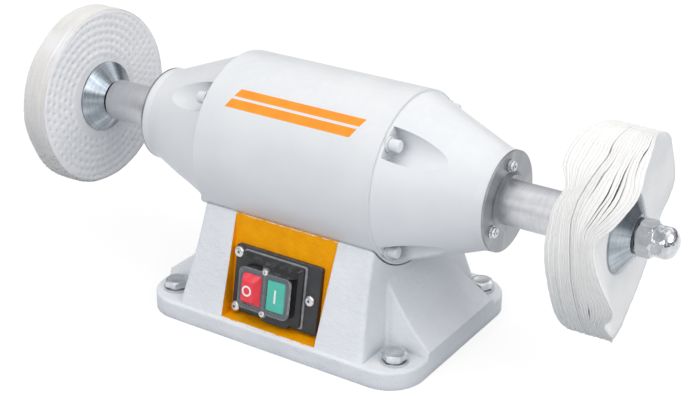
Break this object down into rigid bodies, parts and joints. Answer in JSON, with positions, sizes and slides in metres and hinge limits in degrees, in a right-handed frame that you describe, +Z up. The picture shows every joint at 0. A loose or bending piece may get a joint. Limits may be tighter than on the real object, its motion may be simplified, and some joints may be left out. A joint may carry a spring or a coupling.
{
  "type": "bench polishing machine",
  "caption": "Bench polisher with an enclosed motor on a cast pedestal, a stop and start switch in its sloping front, and a long spindle carrying a stitched cotton wheel and a loose cotton mop.",
  "frame": {"origin": "centre of the base's underside, on the bench top", "axes": "+X along the spindle towards the loose mop, +Y from the switch to the rear, +Z up"},
  "size_m": [0.5766, 0.1772, 0.2085],
  "materials": {
    "body_paint": "light grey powder coat on cast iron",
    "shell_paint": "light grey powder coat on cast aluminium",
    "cover_sheet": "grey painted sheet",
    "zinc_screws": "bright zinc",
    "stainless": "plain stainless",
    "brushed_tube": "turned and brushed",
    "turned_steel": "turned and polished",
    "chrome_nut": "bright plated",
    "bearing_steel": "ground",
    "loose_cotton": "loose cotton cloth",
    "stitched_cotton": "cotton cloth sewn in rings",
    "lamination": "varnished laminations",
    "copper": "enamelled copper",
    "cast_aluminium": "cast and plain",
    "black_plastic": "matt black",
    "grey_gasket": "light grey foam rubber",
    "clear_plastic": "clear",
    "red_plastic": "red, satin",
    "green_plastic": "green, satin"
  },
  "bodies": {
    "frame": {"base_bolt_washers": "stainless", "base_bolts": "stainless", "base_housing": "body_paint", "bearing_preload_washer": "bearing_steel", "bottom_cover": "cover_sheet", "bottom_cover_screws": "zinc_screws", "cable_gland": "black_plastic", "cable_gland_nut": "black_plastic", "capacitor": "cast_aluminium", "capacitor_strap": "cover_sheet", "capacitor_strap_screws": "zinc_screws", "end_bell_screws": "body_paint", "end_bell_washers": "body_paint", "left_bearing_outer_ring": "bearing_steel", "left_end_bell": "shell_paint", "left_extension_tube": "brushed_tube", "left_tube_plate": "brushed_tube", "motor_barrel": "shell_paint", "motor_saddle_screws": "zinc_screws", "right_bearing_outer_ring": "bearing_steel", "right_end_bell": "shell_paint", "right_extension_tube": "brushed_tube", "right_tube_plate": "brushed_tube", "stator_core": "lamination", "stator_windings": "copper", "switch_body": "black_plastic", "switch_frame": "clear_plastic", "switch_frame_screws": "zinc_screws", "switch_gasket": "grey_gasket", "switch_plate": "black_plastic", "switch_plate_screws": "zinc_screws", "tube_plate_screws": "zinc_screws"},
    "spindle": {"spindle_shaft": "turned_steel", "rotor_core": "lamination", "rotor_end_rings": "cast_aluminium", "right_inner_flange": "turned_steel", "left_inner_flange": "turned_steel", "right_outer_flange": "turned_steel", "left_outer_flange": "turned_steel", "loose_cotton_mop": "loose_cotton", "stitched_cotton_wheel": "stitched_cotton", "right_nut_washer": "stainless", "left_nut_washer": "stainless", "right_dome_nut": "chrome_nut", "left_dome_nut": "chrome_nut", "right_bearing_inner_ring": "bearing_steel", "left_bearing_inner_ring": "bearing_steel", "right_bearing_balls": "bearing_steel", "left_bearing_balls": "bearing_steel"},
    "stop_button": {"stop_button": "red_plastic"},
    "start_button": {"start_button": "green_plastic"}
  },
  "joints": [
    {"name": "spindle_turn", "type": "hinge", "parent": "frame", "child": "spindle", "pos_m": [0, 0, 0.1335], "axis": [1, 0, 0], "continuous": true},
    {"name": "stop_press", "type": "slide", "parent": "frame", "child": "stop_button", "axis": [0, 0.9823, -0.1874], "range_m": [0, 0.003], "stiffness_N_per_m": 600, "springref_m": -0.001},
    {"name": "start_press", "type": "slide", "parent": "frame", "child": "start_button", "axis": [0, 0.9823, -0.1874], "range_m": [0, 0.003], "stiffness_N_per_m": 600, "springref_m": -0.001}
  ]
}
